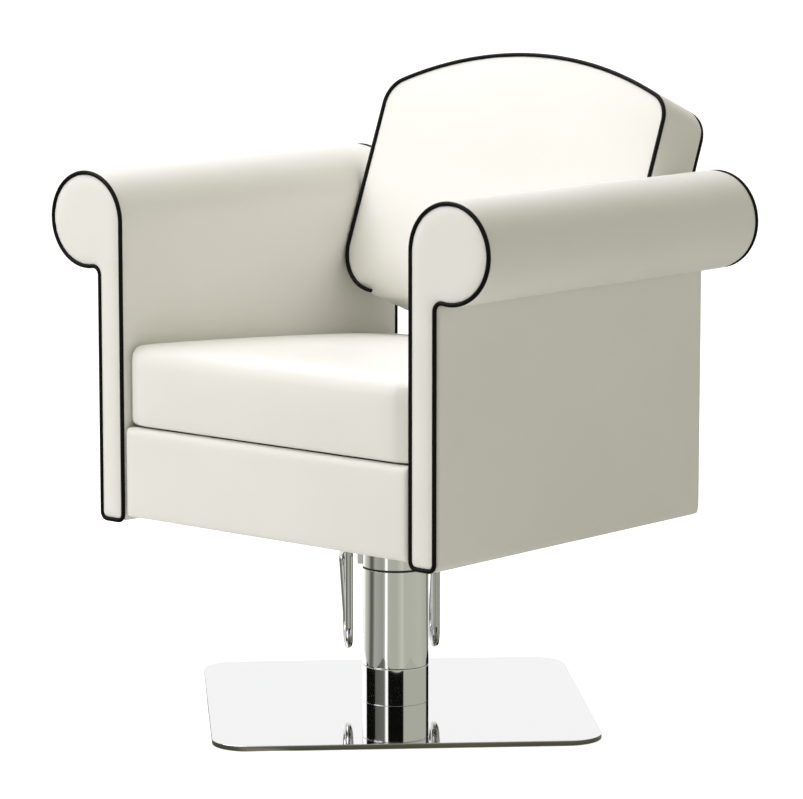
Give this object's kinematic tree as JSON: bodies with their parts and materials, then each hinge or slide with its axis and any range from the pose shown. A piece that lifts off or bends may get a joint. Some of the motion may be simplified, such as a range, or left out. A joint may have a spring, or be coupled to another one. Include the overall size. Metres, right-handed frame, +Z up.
{
  "type": "styling chair",
  "caption": "Salon styling chair with upholstered rolled arms, raked back, piped edges and a hydraulic swivel column on a square base plate.",
  "frame": {"origin": "on the floor, on the column's axis, at the middle of the underside of the base pad", "axes": "+Z up along the column, -Y towards the front of the seat, +X to the right seen from the front at rest"},
  "size_m": [0.808, 0.7631, 0.9213],
  "materials": {
    "black_rubber": "matt moulded rubber",
    "mirror_steel": "mirror-polished stainless plate",
    "chrome": "bright chrome plating",
    "bright_steel": "ground steel",
    "zinc_steel": "zinc-plated steel",
    "black_steel": "black powder coat",
    "nylon": "natural nylon",
    "bronze": "sintered bronze",
    "hardwood": "planed beech and ply",
    "strap_web": "woven elastic strap",
    "dust_cloth": "pale non-woven cloth",
    "cream_vinyl": "smooth satin cream-white upholstery vinyl over foam",
    "black_piping": "black vinyl piping over cord"
  },
  "bodies": {
    "base": {"base_pad": "black_rubber", "base_plate": "mirror_steel", "base_screws": "zinc_steel", "base_collar": "chrome", "guide_tube": "bright_steel", "ram": "bright_steel", "ram_piston": "bright_steel", "piston_seal": "black_rubber"},
    "lift": {"lift_sleeve": "chrome", "guide_bushes": "nylon", "wiper_ring": "black_rubber", "seam_ring": "black_rubber", "oil_barrel": "bright_steel", "gland_nut": "bronze", "pump_head": "chrome", "kingpin": "bright_steel", "kingpin_nut": "zinc_steel", "thrust_washer": "bronze", "lever_shaft": "bright_steel", "shaft_clips": "zinc_steel", "lever_springs": "zinc_steel"},
    "pump_lever": {"pump_lever": "chrome"},
    "pump_plunger": {"pump_plunger": "bright_steel"},
    "lock_lever": {"lock_lever": "chrome"},
    "brake_pin": {"brake_pin": "bright_steel", "brake_pad": "black_rubber"},
    "seat": {"swivel_disc": "zinc_steel", "mount_plate": "black_steel", "mount_bolts": "zinc_steel", "cross_bars": "hardwood", "seat_frame": "hardwood", "webbing": "strap_web", "dust_cover": "dust_cloth", "front_apron": "cream_vinyl", "rear_apron": "cream_vinyl", "seat_cushion": "cream_vinyl", "arm_core_left": "hardwood", "arm_core_right": "hardwood", "arm_cover_left": "cream_vinyl", "arm_cover_right": "cream_vinyl", "front_facing_left": "cream_vinyl", "front_facing_right": "cream_vinyl", "rear_facing_left": "cream_vinyl", "rear_facing_right": "cream_vinyl", "front_piping_left": "black_piping", "front_piping_right": "black_piping", "rear_piping_left": "black_piping", "rear_piping_right": "black_piping", "arm_bolts": "zinc_steel", "back_board": "hardwood", "back_pad": "cream_vinyl", "back_shell": "cream_vinyl", "back_front_piping": "black_piping", "back_rear_piping": "black_piping", "back_brackets": "black_steel", "back_bolts": "zinc_steel"}
  },
  "joints": [
    {"name": "lift_slide", "type": "slide", "parent": "base", "child": "lift", "axis": [0, 0, 1], "range_m": [0, 0.13]},
    {"name": "seat_swivel", "type": "hinge", "parent": "lift", "child": "seat", "pos_m": [0, 0, 0.27], "axis": [0, 0, 1], "continuous": true},
    {"name": "pump_lever_hinge", "type": "hinge", "parent": "lift", "child": "pump_lever", "pos_m": [-0.04243, 0.04243, 0.235], "axis": [0.7071, 0.7071, 0], "range_deg": [0, 25], "stiffness_Nm_per_rad": 3, "springref_deg": -8.59},
    {"name": "pump_plunger_slide", "type": "slide", "parent": "lift", "child": "pump_plunger", "axis": [0, 0, -1], "range_m": [0, 0.0115]},
    {"name": "lock_lever_hinge", "type": "hinge", "parent": "lift", "child": "lock_lever", "pos_m": [-0.04243, 0.04243, 0.235], "axis": [0.7071, 0.7071, 0], "range_deg": [0, 12]},
    {"name": "brake_pin_slide", "type": "slide", "parent": "lift", "child": "brake_pin", "axis": [0, 0, 1], "range_m": [0, 0.0048]}
  ],
  "couplings": [
    {"joint": "pump_plunger_slide", "follows": "pump_lever_hinge", "m_per_rad": 0.0248},
    {"joint": "brake_pin_slide", "follows": "lock_lever_hinge", "m_per_rad": 0.0225}
  ]
}
